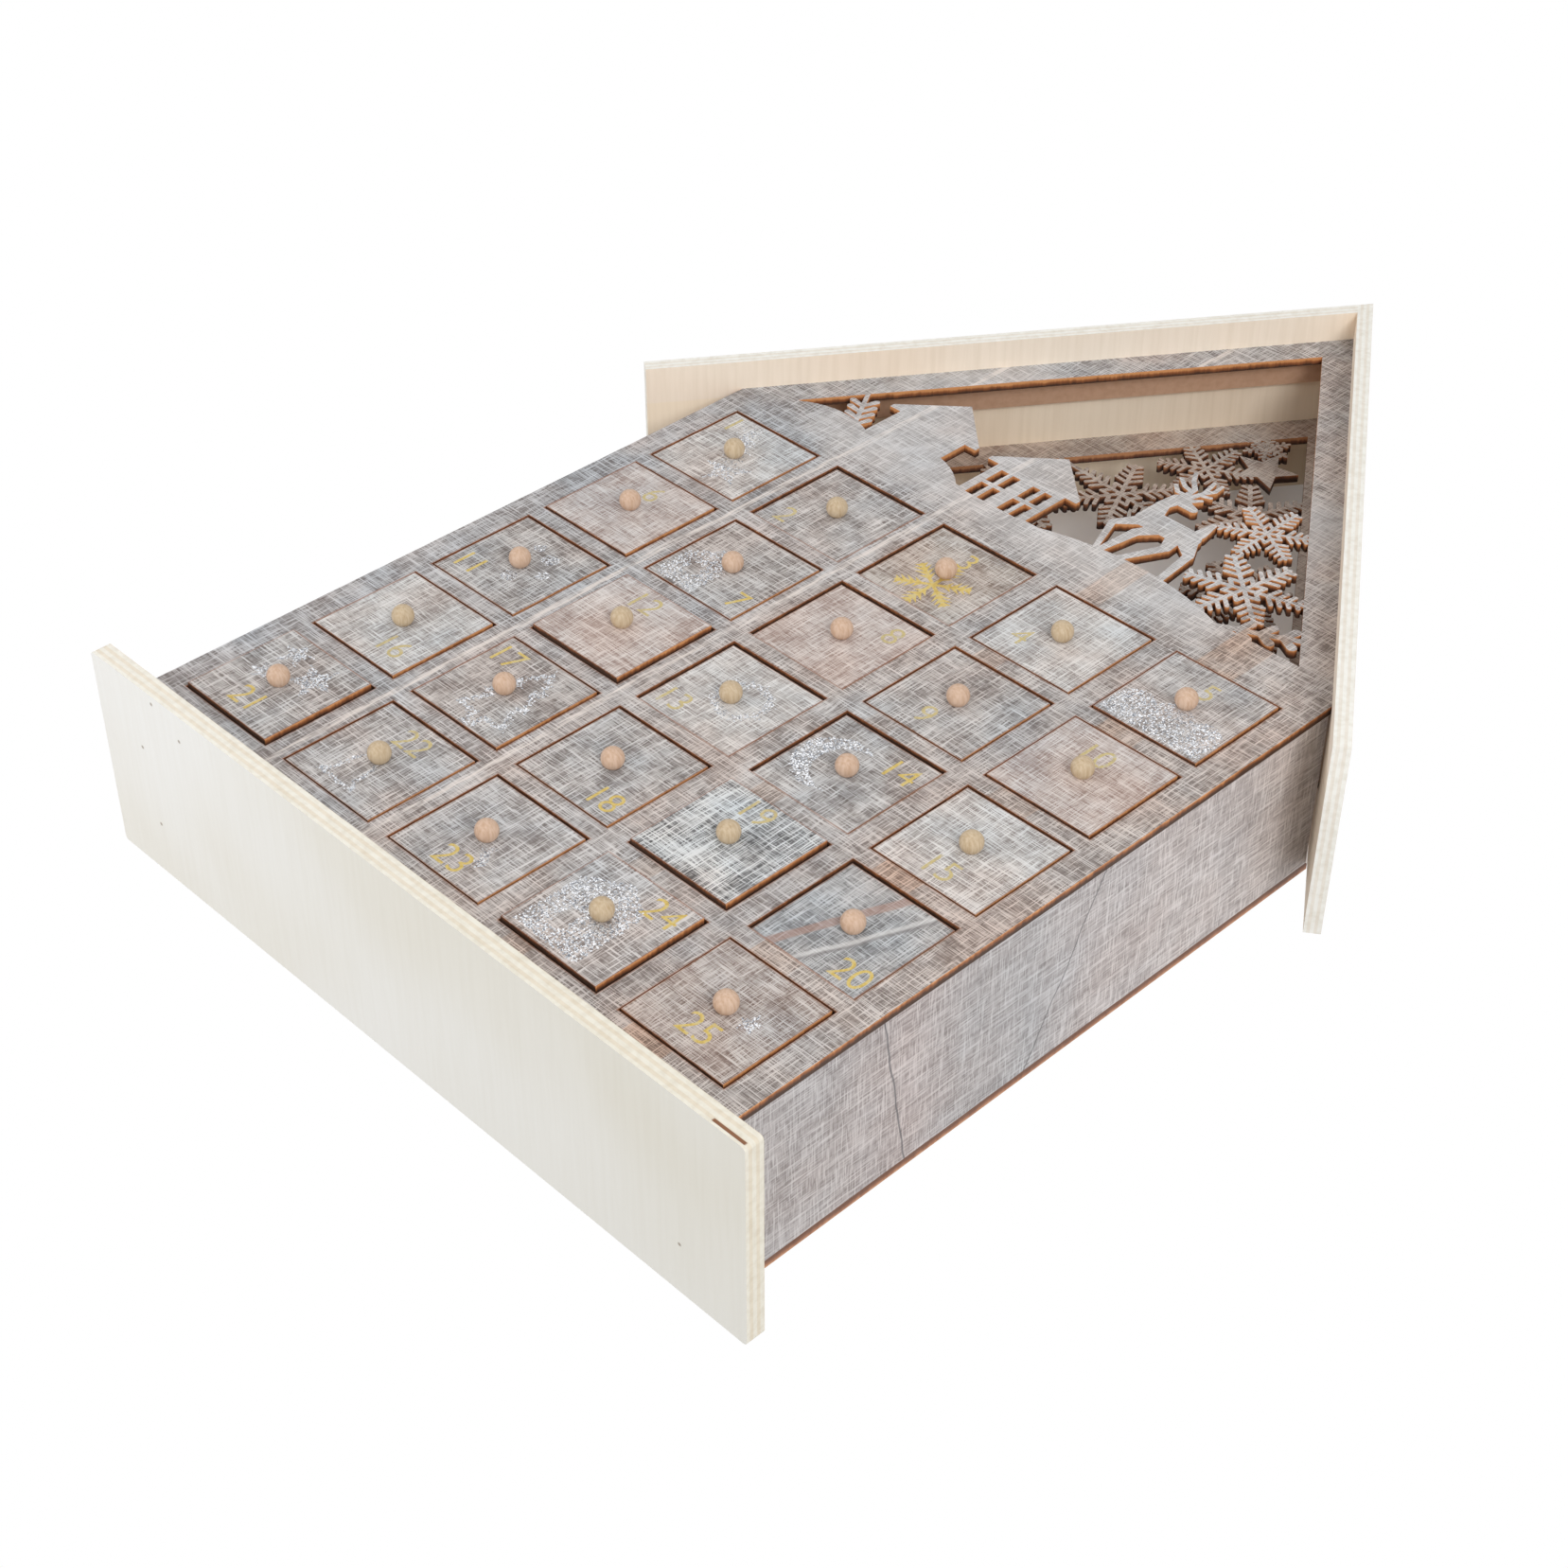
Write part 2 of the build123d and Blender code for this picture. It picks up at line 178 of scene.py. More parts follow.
def bare_ply(tree, pale, warm, through, first_face, veneer, waves, outer, inner, streaks=1.0):
    """Colour and fibre of bare plywood. through points through the sheet, which starts at first_face
    and has veneers of one thickness; waves draws out the figure; outer and inner are the sawn veneers."""
    place = where(tree)
    fibre = figure(tree, place, waves, 4.0)
    face = blend(tree, fade(tree, mottle(tree, place, 7.0), 0.36, 0.66), pale, warm)
    streak = shade(tree, fibre, (0.3, tint(0.94, 0.93, 0.91)), (0.6, untinted))
    face = glaze(tree, face, streak, streaks)
    depth = reckon(tree, "SUBTRACT", along(tree, place, through), first_face)
    depth = reckon(tree, "DIVIDE", depth, veneer * 2)
    depth = waver(tree, place, 25.0, 0.12, depth)
    layers = shade(tree, reckon(tree, "FRACT", depth), (0.0, outer), (0.46, outer),
                   (0.54, inner), (0.94, inner), (1.0, outer))
    pores = shade(tree, mottle(tree, place, 420.0, 3.0), (0.3, tint(0.9, 0.88, 0.85)), (0.6, untinted))
    layers = glaze(tree, layers, pores)
    turned = reckon(tree, "ABSOLUTE", facing(tree, through))
    return blend(tree, fade(tree, turned, 0.8, 0.6), face, layers), fibre


base_veneer = 0.0013
base_end = 0.16
base_specks = ((-0.101, -0.026), (-0.114, -0.033), (-0.124, -0.011), (-0.121, 0.018), (0.120, 0.0195))
speck_core, speck_rim = 0.0003, 0.0009
gap_left, gap_right = 0.1330, 0.1444
gap_low, gap_high = 0.0010, 0.0019
gap_behind, gap_face = -0.0361, -0.0362
base_ply, tree = new_finish("base_board_ply")
paint, fibre = bare_ply(tree, colour(243, 242, 239), colour(237, 234, 226), upward, 0.0, base_veneer,
                        (520.0, 26.0, 520.0), colour(240, 236, 226), colour(234, 225, 209), 0.35)
place = where(tree)
for right, inward in base_specks:
    away = step(tree, "VectorMath", {0: place, 1: (right, inward, 0.0)}, "Value", operation="DISTANCE")
    paint = blend(tree, fade(tree, away, speck_rim, speck_core, 0.0, 0.7), paint, colour(140, 118, 98))
# Darker and yellower towards the right end: partly the board's own tone, partly painted shade where the light
# falls off.
tone_and_shade_to_right = fade(tree, along(tree, place, rightward), -base_end, base_end)
paint = glaze(tree, paint, shade(tree, tone_and_shade_to_right, (0.0, untinted), (1.0, tint(0.915, 0.905, 0.87))))
gap = product(tree, between(tree, along(tree, place, rightward), gap_left, gap_right, 0.0006),
              between(tree, along(tree, place, upward), gap_low, gap_high, 0.0002),
              fade(tree, along(tree, place, backward), gap_behind, gap_face))
paint = blend(tree, gap, paint, colour(134, 92, 66))
bare_coat(tree, paint, fibre)
dress("base_board", base_ply)


# Side walls and back: 3 mm plywood with a grey lime wash printed over linen-like brush lines on the
# outside, cut by laser so that the edges are burnt brown, and glued to the base board.
sheet_thickness = 0.003
half_width = 0.1305
base_top, eave = 0.0065, 0.2615
back_face = 0.0374
x_axis, y_axis, z_axis = 0, 1, 2


def threads(tree, place, axis, pitch, length):
    """Brush lines along one axis, about pitch apart and length long, in metres."""
    waves = [1 / pitch] * 3
    waves[axis] = 1 / length
    return figure(tree, place, waves, 1.0)


def lime_wash(tree, grain, cross, shades, boldness, clouds=1.0, pitch=0.0003):
    """Brushed wash: a cloudy ground with soft dark dashes along the grain, and fine dark lines and pale
    hairs along and across it. Gives its colour and its height."""
    dark, middle, light = shades
    place = where(tree)
    wear = mottle(tree, place, 75.0, 4.0)
    drift = reckon(tree, "MULTIPLY_ADD", wear, 0.2 * clouds, -0.1 * clouds)
    cloud = 0.2 * clouds
    deep = tuple((1 - cloud) * a + cloud * b for a, b in zip(middle, dark))
    high = tuple((1 - cloud) * a + cloud * b for a, b in zip(middle, light))
    paint = shade(tree, wear, (0.32, deep), (0.5, middle), (0.68, high))
    dashes = reckon(tree, "ADD", threads(tree, place, grain, 0.0010, 0.006), drift)
    paint = blend(tree, fade(tree, dashes, 0.5, 0.34, 0.0, 0.3 * boldness), paint, dark)
    cloth = drift
    for axis, length, strength in ((grain, 0.007, 0.85), (cross, 0.004, 0.75)):
        lines = threads(tree, place, axis, pitch, length)
        share = fade(tree, reckon(tree, "ADD", lines, drift), 0.48, 0.38, 0.0, strength * boldness)
        paint = blend(tree, share, paint, dark)
        cloth = reckon(tree, "MULTIPLY_ADD", lines, 0.5, cloth)
    for axis, length, strength in ((grain, 0.012, 0.9), (cross, 0.008, 0.85)):
        hairs = reckon(tree, "ADD", threads(tree, place, axis, 1.1 * pitch, length), drift)
        paint = blend(tree, fade(tree, hairs, 0.54, 0.62, 0.0, strength * boldness), paint, light)
    warmth = shade(tree, mottle(tree, place, 30.0, 3.0), (0.34, tint(0.89, 0.945, 0.99)),
                   (0.5, tint(1.0, 0.995, 0.99)), (0.64, tint(1.0, 0.925, 0.885)))
    return glaze(tree, paint, warmth, 0.9 * clouds), cloth


def sheet_depth(tree, inward, face, thickness=sheet_thickness, space="Object"):
    """How deep a place lies in a sheet, 0 on its washed face and 1 on its back. inward points from the
    washed face into the sheet, in the given space."""
    reach = along(tree, step(tree, "TexCoord", out=space), inward)
    return reckon(tree, "DIVIDE", reckon(tree, "SUBTRACT", reach, face), thickness)


def cut_sheet(tree, wash, inward, depth, burnt, char_and_shade=0.0):
    """Colour of a washed sheet with burnt edges, which go from tan at the face to nearly black at the back,
    or are darkened further, by burning on some sheets and by painted shade on others. Its back is raw wood."""
    tan, brown, black = burnt
    place = where(tree)
    flames = figure(tree, place, tuple(800.0 - 760.0 * abs(share) for share in inward), 2.0)
    scorch = waver(tree, place, 160.0, 0.5, depth)
    scorch = reckon(tree, "MULTIPLY_ADD", flames, 0.5, scorch)
    scorch = reckon(tree, "MULTIPLY_ADD", scorch, 0.6, char_and_shade)
    cut = shade(tree, scorch, (0.3, tan), (0.44, tan), (0.6, brown), (0.82, black))
    raw = figure(tree, place, (300.0, 300.0, 20.0), 3.0)
    raw = shade(tree, raw, (0.3, colour(176, 140, 104)), (0.7, colour(206, 176, 140)))
    turned = facing(tree, inward)
    paint = blend(tree, fade(tree, turned, 0.5, 0.7), cut, raw)
    return blend(tree, fade(tree, turned, -0.5, -0.7), paint, wash)


def washed_coat(tree, paint, cloth):
    """Matt washed wood, rougher in the hollows of the brush lines."""
    coat(tree, paint, fade(tree, cloth, 0.35, 0.65, 0.74, 0.58), cloth, 0.0002)


brown_cut = colour(147, 90, 54)
burnt_cut = colour(214, 151, 98), brown_cut, colour(70, 48, 36)
wall_grey = colour(140, 134, 132), colour(189, 184, 183), colour(228, 226, 225)
# Tones up the wall from foot to eave: pinkish and bluish zones of the print, and painted light on the top
# under the eave, lifting the eave's shade.
wall_tones_and_painted_light = (
    (0.06, tint(0.84, 0.81, 0.805)), (0.18, tint(0.9, 0.825, 0.81)), (0.3, tint(0.82, 0.815, 0.825)),
    (0.45, tint(0.81, 0.825, 0.845)), (0.6, tint(0.92, 0.88, 0.875)), (0.85, tint(1.0, 0.95, 0.935)),
)
wall_brush_pitch = 0.00036
wall_cracks = ((0.1439, -0.52), (0.0700, 0.17))
crack_sway, crack_start, crack_end = 0.003, 0.0014, 0.0016
for side, name in ((1, "wall_right"), (-1, "wall_left")):
    wall_ply, tree = new_finish(name + "_wash")
    wash, cloth = lime_wash(tree, z_axis, y_axis, wall_grey, 0.72, 0.35, wall_brush_pitch)
    place = where(tree)
    height = fade(tree, along(tree, place, upward), base_top, eave)
    wash = glaze(tree, wash, shade(tree, height, *wall_tones_and_painted_light))
    for start, lean in wall_cracks:
        line = waver(tree, place, 60.0, crack_sway, along(tree, place, (0, -lean, 1)))
        crack = between(tree, line, start + crack_start, start + crack_end, 0.0004)
        wash = blend(tree, product(tree, crack, 0.8), wash, colour(100, 98, 100))
    into_wall = (-side, 0, 0)
    paint = cut_sheet(tree, wash, into_wall, sheet_depth(tree, into_wall, -half_width), burnt_cut)
    washed_coat(tree, paint, cloth)
    dress(name, wall_ply)

back_grey = colour(150, 140, 134), colour(186, 179, 174), colour(208, 204, 200)
back_burnt = colour(196, 146, 112), colour(152, 104, 78), colour(112, 76, 58)
into_back = (0, -1, 0)
back_ply, tree = new_finish("back_wash")
wash, cloth = lime_wash(tree, z_axis, x_axis, back_grey, 0.8)
paint = cut_sheet(tree, wash, into_back, sheet_depth(tree, into_back, -back_face), back_burnt, 0.12)
washed_coat(tree, paint, cloth)
dress("back_panel", back_ply)


# Crossing boards: bare plywood strips halved into each other behind the front, so that each drawer
# runs in a box of its own. They only show when a drawer is out.
behind_front = -0.0248
divider_veneer = 0.001
divider_ply, tree = new_finish("divider_ply")
paint, fibre = bare_ply(tree, colour(222, 206, 180), colour(206, 186, 156), backward, behind_front,
                        divider_veneer, (420.0, 30.0, 420.0), colour(200, 170, 134), colour(166, 128, 92))
bare_coat(tree, paint, fibre, 0.75, 0.6)
dress("divider_grid", divider_ply)


# Front: one washed sheet with 25 windows and the gable scene cut out by laser, glued over the walls.
# The print shows upright planks of slightly different greys with pale seams between them and two
# peach strips. The scene is printed paler and the right border of the gable darker.
front_face = -0.0278
slope = math.radians(55.0)
front_grey = colour(120, 111, 107), colour(169, 164, 161), colour(216, 212, 210)
plank_tones = (
    (0.0, tint(0.9, 0.92, 0.95)), (0.2, tint(0.9, 0.92, 0.94)), (0.23, tint(0.95, 0.95, 0.96)),
    (0.39, tint(0.95, 0.95, 0.96)), (0.42, tint(0.98, 0.945, 0.925)), (0.58, tint(0.98, 0.95, 0.93)),
    (0.62, untinted), (0.7, tint(0.98, 0.97, 0.96)), (0.76, tint(0.92, 0.9, 0.89)),
    (0.86, tint(0.98, 0.92, 0.88)),
)
plank_sway = 0.004
plank_seams = (-0.074, -0.026)
seam_start, seam_end = 0.0012, 0.0024
scene_low, scene_high = 0.2640, 0.3450
scene_left, scene_right = -0.090, 0.075
peach_strips = ((0.0370, 0.0455, 0.6), (0.0870, 0.1010, 1.0))
peach_shift, peach_end, peach_top = 0.0018, 0.2780, 0.2840
border_start, border_full = 0.2440, 0.2456
windows_low, windows_high, windows_reach = 0.0152, 0.2508, 0.1223
column_pitch, row_pitch, lowest_row = 0.05, 0.048, 0.037
rim_inside, rim_outside = 0.0206, 0.0214
edge_start, edge_full = 0.1300, 0.1304
flakes_start, flakes_full = 0.045, 0.058
front_ply, tree = new_finish("front_wash")
wash, cloth = lime_wash(tree, x_axis, z_axis, front_grey, 1.0)
place = where(tree)
right = along(tree, place, rightward)
height = along(tree, place, upward)
swayed = waver(tree, place, 18.0, plank_sway, right)
plank = fade(tree, swayed, -half_width, half_width + plank_sway, course="LINEAR")
wash = glaze(tree, wash, shade(tree, plank, *plank_tones))
for seam in plank_seams:
    line = between(tree, swayed, seam + seam_start, seam + seam_end, 0.0009)
    worn = fade(tree, threads(tree, place, z_axis, 0.0007, 0.008), 0.36, 0.62, 0.15, 0.75)
    wash = blend(tree, product(tree, line, worn), wash, colour(230, 220, 213))
scene_rows = between(tree, height, scene_low, scene_high, 0.012)
paler = product(tree, between(tree, right, scene_left, scene_right, 0.012), scene_rows, 0.3)
wash = blend(tree, paler, wash, colour(224, 221, 220))
patchy = product(tree, fade(tree, mottle(tree, place, 45.0), 0.34, 0.54, 0.45, 1.0),
                 fade(tree, height, peach_top, peach_end))
for low, high, strength in peach_strips:
    strip = between(tree, swayed, low + peach_shift, high + peach_shift, 0.0006)
    wash = glaze(tree, wash, tint(1.0, 0.85, 0.745), product(tree, strip, patchy, strength))
out_of_right_roof = (math.sin(slope), 0, math.cos(slope))
right_border = fade(tree, along(tree, place, out_of_right_roof), border_start, border_full)
wash = glaze(tree, wash, tint(0.84, 0.82, 0.81), right_border)
windows = product(tree, between(tree, height, windows_low, windows_high, 0.0005),
                  between(tree, right, -windows_reach, windows_reach, 0.0005))
reaches = []
for distance, pitch, middle in ((right, column_pitch, 0.0), (height, row_pitch, lowest_row)):
    share = reckon(tree, "MULTIPLY_ADD", distance, 1 / pitch, 0.5 - middle / pitch)
    share = reckon(tree, "FRACT", share)
    reaches.append(reckon(tree, "ABSOLUTE", reckon(tree, "MULTIPLY_ADD", share, pitch, -pitch / 2)))
# Brown rims round the windows: the burnt cut edge and painted shade of the gap round each drawer, laid on the
# face.
rim_and_gap_shade = fade(tree, reckon(tree, "MAXIMUM", *reaches), rim_inside, rim_outside, 0.6, 0.0)
wash = blend(tree, product(tree, rim_and_gap_shade, windows), wash, brown_cut)
outer_edges = fade(tree, reckon(tree, "ABSOLUTE", right), edge_start, edge_full, 0.0, 0.14)
flake_edges = product(tree, fade(tree, right, flakes_start, flakes_full, 0.0, 0.1), scene_rows)
char_and_shade = reckon(tree, "MULTIPLY_ADD", windows, 0.3, outer_edges)
char_and_shade = reckon(tree, "ADD", char_and_shade, flake_edges)
paint = cut_sheet(tree, wash, backward, sheet_depth(tree, backward, front_face), burnt_cut, char_and_shade)
washed_coat(tree, paint, cloth)
dress("front_panel", front_ply)


# Gable screen: a second washed sheet set back inside the gable, with snowflakes and a star cut out of it.
# Its grey and its edges are painted darker than the front's, as painted shade, apart from the left border's.
screen_face = 0.0052
screen_border_start, screen_border_full = 0.2440, 0.2447
# Painted shade inside the gable: the screen's grey and burnt edges are darker than the front's, and its edges
# darker still away from the left border.
screen_grey_shaded = colour(128, 111, 101), colour(182, 167, 156), colour(212, 200, 190)
screen_burnt_shaded = colour(184, 130, 90), colour(118, 74, 52), colour(58, 41, 34)
screen_ply, tree = new_finish("screen_wash")
wash, cloth = lime_wash(tree, x_axis, z_axis, screen_grey_shaded, 0.9)
out_of_left_roof = (-math.sin(slope), 0, math.cos(slope))
left_border = along(tree, where(tree), out_of_left_roof)
left_border = fade(tree, left_border, screen_border_start, screen_border_full)
char_and_shade = reckon(tree, "MULTIPLY_ADD", left_border, -0.2, 0.16)
paint = cut_sheet(tree, wash, backward, sheet_depth(tree, backward, screen_face), screen_burnt_shaded, char_and_shade)
washed_coat(tree, paint, cloth)
dress("gable_screen", screen_ply)


# Roof: two bare pale plywood boards meeting at the ridge, glued to battens behind the gable's border,
# which are coloured brown as painted shade. Their sawn edges show the veneers, and inside the gable
# their undersides carry painted shade and warm bounce light, darker towards the ridge.
ridge_underside = 0.4479
roof_veneer = 0.0011
shadow_low, shadow_high = 0.3300, 0.4050
for out_of_roof, name in ((out_of_right_roof, "roof_right"), (out_of_left_roof, "roof_left")):
    roof_ply, tree = new_finish(name + "_ply")
    paint, fibre = bare_ply(tree, colour(246, 235, 220), colour(244, 228, 209), out_of_roof,
                            ridge_underside * math.cos(slope), roof_veneer, (460.0, 24.0, 460.0),
                            colour(243, 241, 234), colour(236, 230, 219))
    place = where(tree)
    # Painted light and shade on the undersides inside the gable: warm bounce light near the eaves, darkening
    # towards the ridge.
    inside_gable = fade(tree, along(tree, place, backward), behind_front - 0.0004, behind_front + 0.0004)
    inside_gable = product(tree, inside_gable, fade(tree, facing(tree, out_of_roof), -0.5, -0.7))
    to_ridge = fade(tree, along(tree, place, upward), shadow_low, shadow_high)
    painted_shade_to_ridge = shade(tree, to_ridge, (0.0, tint(1.0, 0.985, 0.93)), (1.0, tint(0.89, 0.865, 0.815)))
    paint = glaze(tree, paint, painted_shade_to_ridge, inside_gable)
    bare_coat(tree, paint, fibre)
    dress(name, roof_ply)

unlayered = 0.1
# Painted shade: the battens are coloured a darker brown than the roof's plywood, for the shade behind the
# gable's border.
batten_shaded_ply, tree = new_finish("batten_shaded_ply")
paint, fibre = bare_ply(tree, colour(194, 160, 136), colour(180, 144, 119), backward, behind_front,
                        unlayered, (420.0, 300.0, 30.0), colour(194, 158, 132), colour(172, 134, 108))
bare_coat(tree, paint, fibre, 0.8, 0.65)
dress("gable_battens", batten_shaded_ply)


# Drawers: a washed front cut from the same sheet and a thin bare plywood tray glued behind it. The
# fronts were cut from different boards, so their greys differ from drawer to drawer.
drawer_length = 0.0607
upright_grain, level_grain = (z_axis, x_axis), (x_axis, z_axis)
pale_grey = colour(137, 128, 124), colour(190, 186, 183), colour(224, 222, 220)
rosy_grey = colour(142, 121, 113), colour(192, 180, 174), colour(222, 215, 211)
dark_grey = colour(110, 101, 97), colour(163, 158, 155), colour(212, 209, 207)
bold_grey = colour(86, 84, 84), colour(164, 163, 162), colour(224, 224, 223)
cool_grey = colour(110, 108, 107), colour(162, 160, 159), colour(204, 203, 203)
brown_grey = colour(122, 106, 96), colour(178, 168, 159), colour(214, 207, 201)
deep_rosy_grey = colour(119, 100, 92), colour(172, 161, 154), colour(210, 202, 197)
drawer_greys = {
    "pale": ((1, 13, 15), level_grain, pale_grey, 1.0),
    "pale_upright": ((4, 16), upright_grain, pale_grey, 1.0),
    "rosy": ((6, 10, 12), level_grain, rosy_grey, 0.9),
    "rosy_upright": ((8,), upright_grain, rosy_grey, 0.9),
    "plain": ((2, 5, 22, 23, 24), upright_grain, front_grey, 1.0),
    "dark": ((7, 11, 14, 17, 21), level_grain, dark_grey, 1.0),
    "dark_upright": ((9, 18), upright_grain, dark_grey, 1.0),
    "bold": ((19,), upright_grain, bold_grey, 1.05),
    "cool": ((20,), upright_grain, cool_grey, 1.0),
    "brown": ((3,), level_grain, brown_grey, 1.0),
    "deep_rosy": ((25,), level_grain, deep_rosy_grey, 1.0),
}
cool_right, cool_height, stain_lean = 0.1, 0.085, 0.4
cool_stains = (
    (-0.005, -0.0025, colour(168, 134, 120)),
    (0.0062, 0.0072, colour(216, 214, 212)),
    (0.0078, 0.0082, colour(128, 124, 122)),
)
for grey, (numbers, (grain, cross), shades, boldness) in drawer_greys.items():
    drawer_ply, tree = new_finish(f"drawer_{grey}_wash")
    wash, cloth = lime_wash(tree, grain, cross, shades, boldness)
    place = where(tree)
    span = step(tree, "TexCoord", out="Generated")
    if grey == "cool":
        line = waver(tree, place, 50.0, 0.003, along(tree, place, (1, 0, -stain_lean)))
        line = reckon(tree, "SUBTRACT", line, cool_right - stain_lean * cool_height)
        for low, high, stain in cool_stains:
            wash = blend(tree, product(tree, between(tree, line, low, high, 0.001), 0.6), wash, stain)
    reaches = []
    for direction in (rightward, upward):
        from_middle = reckon(tree, "SUBTRACT", along(tree, span, direction), 0.5)
        reaches.append(reckon(tree, "ABSOLUTE", from_middle))
    # Brown rim round the drawer face: the burnt cut edge and painted shade of the gap, laid on the face.
    rim_and_gap_shade = fade(tree, reckon(tree, "MAXIMUM", *reaches), 0.486, 0.499, 0.0, 0.6)
    wash = blend(tree, rim_and_gap_shade, wash, brown_cut)
    # Painted shade: the cut edges that face down are painted darker, where shade falls under the drawer.
    char_and_shade = fade(tree, facing(tree, (0, 0, -1)), 0.5, 0.7, 0.1, 0.34)
    depth = sheet_depth(tree, backward, 0.0, sheet_thickness / drawer_length, "Generated")
    paint = cut_sheet(tree, wash, backward, depth, burnt_cut, char_and_shade)
    fibre = figure(tree, place, (420.0, 26.0, 420.0), 4.0)
    tray = shade(tree, fibre, (0.3, colour(196, 164, 126)), (0.65, colour(224, 200, 166)))
    top_edges = product(tree, fade(tree, along(tree, span, upward), 0.85, 0.86),
                        fade(tree, facing(tree, upward), 0.6, 0.8))
    tray = blend(tree, top_edges, tray, colour(132, 84, 52))
    paint = blend(tree, fade(tree, depth, 1.0, 1.04), paint, tray)
    washed_coat(tree, paint, cloth)
    for number in numbers:
        dress(f"drawer_{number:02d}", drawer_ply)


# Knobs: small turned beech beads with a peg, glued into a hole in each drawer front and left bare.
# Some were turned from rosier wood than others.
rosy_knobs = (3, 5, 6, 7, 8, 9, 11, 14, 17, 18, 20, 21, 23, 25)
beech_colours = {
    "rosy": (colour(192, 158, 132), colour(210, 182, 160)),
    "straw": (colour(182, 158, 126), colour(202, 183, 155)),
}
knob_beech = {}
for name, (dark, pale) in beech_colours.items():
    knob_beech[name], tree = new_finish(f"knob_{name}_beech")
    fibre = figure(tree, where(tree), (900.0, 120.0, 1500.0), 4.0)
    paint = shade(tree, fibre, (0.3, dark), (0.62, pale))
    coat(tree, paint, fade(tree, fibre, 0.3, 0.7, 0.6, 0.45), fibre, 0.00015)
for number in range(1, 26):
    dress(f"knob_{number:02d}", knob_beech["rosy" if number in rosy_knobs else "straw"])


# Numbers: thin gold foil figures, one on each drawer front, set beside the knob wherever there is room
# for them; each place is given in millimetres right of and above the knob.
foil = 0.00005
figure_height = 0.0087
figure_thinning = -0.006
number_places = {
    1: (-15, 14), 2: (-12, -12), 3: (0, 10.6), 4: (-10, -8), 5: (0.6, 10),
    6: (0, 10.6), 7: (14, -11), 8: (11.5, 11.5), 9: (-3, -11), 10: (-2, 10),
    11: (-12.6, -10.6), 12: (-2.6, 13), 13: (-12, -12), 14: (12, 11.5), 15: (0, -12),
    16: (8.5, -10), 17: (-12, 12), 18: (11, -12), 19: (-2, 14), 20: (12.4, -13),
    21: (-1.5, -11), 22: (0.6, 12), 23: (0, -12.6), 24: (11, 13), 25: (0, -10),
}
rubbed_numbers = (1, 2, 4, 5, 6, 8, 9, 10, 12, 13, 15, 16, 19, 22)
gold_colours = {
    "bright": (colour(190, 164, 92), colour(212, 186, 106), colour(204, 190, 144)),
    "rubbed": (colour(178, 164, 130), colour(200, 182, 124), colour(194, 186, 166)),
}
foil_finishes = {}
for name, golds in gold_colours.items():
    foil_finishes[name], tree = new_finish(f"gold_foil_{name}")
    rub = mottle(tree, where(tree), 800.0, 3.0)
    paint = shade(tree, rub, *zip((0.34, 0.5, 0.66), golds))
    coat(tree, paint, fade(tree, rub, 0.3, 0.7, 0.4, 0.6), rub, 0.00003)
    tree.nodes["Principled BSDF"].inputs["Metallic"].default_value = 0.3


def drawer_front(number):
    """Middle of a drawer's face."""
    low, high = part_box(f"drawer_{number:02d}")
    return Vector(((low.x + high.x) / 2, low.y, (low.z + high.z) / 2))


def set_on_drawer(name, number, solid, finish):
    """Makes a piece of the built solid and puts it on a drawer, which it then moves with."""
    mesh = bpy.data.meshes.new(name)
    solid.to_mesh(mesh)
    solid.free()
    mesh.materials.append(finish)
    piece = bpy.data.objects.new(name, mesh)
    bpy.context.collection.objects.link(piece)
    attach(piece, f"drawer_body_{number:02d}")


for number, (right, up) in number_places.items():
    letters = bpy.data.curves.new("figures", "FONT")
    letters.body = str(number)
    letters.extrude = foil / 2
    letters.offset = figure_thinning
    drawn = bpy.data.objects.new("figures", letters)
    solid = bmesh.new()
    solid.from_mesh(bpy.data.meshes.new_from_object(drawn))
    bpy.data.objects.remove(drawn)
    bmesh.ops.remove_doubles(solid, verts=solid.verts, dist=1e-6)
    left_end, right_end = [pick(v.co.x for v in solid.verts) for pick in (min, max)]
    foot, top = [pick(v.co.y for v in solid.verts) for pick in (min, max)]
    size = figure_height / (top - foot)
    middle = drawer_front(number) + Vector((right, 0, up)) / 1000
    for v in solid.verts:
        x = (v.co.x - (left_end + right_end) / 2) * size
        z = (v.co.y - (foot + top) / 2) * size
        v.co = middle + Vector((x, -v.co.z, z))
    rubbing = "rubbed" if number in rubbed_numbers else "bright"
    set_on_drawer(f"number_{number:02d}", number, solid, foil_finishes[rubbing])


# Gold snowflake: six feathery arms in one piece of the same gold foil, pressed flat onto the front of
# drawer 3 just under its knob.
def slab(solid, outline, seat, front, back, lie=Matrix.Identity(3)):
    """Closes a flat outline into a thin slab on its seat, from front to back of it, turned by lie."""
    faces = []
    for y in (front, back):
        faces.append([solid.verts.new(seat + lie @ Vector((x, y, z))) for x, z in outline])
    solid.faces.new(faces[0])
    solid.faces.new(reversed(faces[1]))
    for this in range(len(outline)):
        solid.faces.new((faces[0][this - 1], faces[1][this - 1], faces[1][this], faces[0][this]))


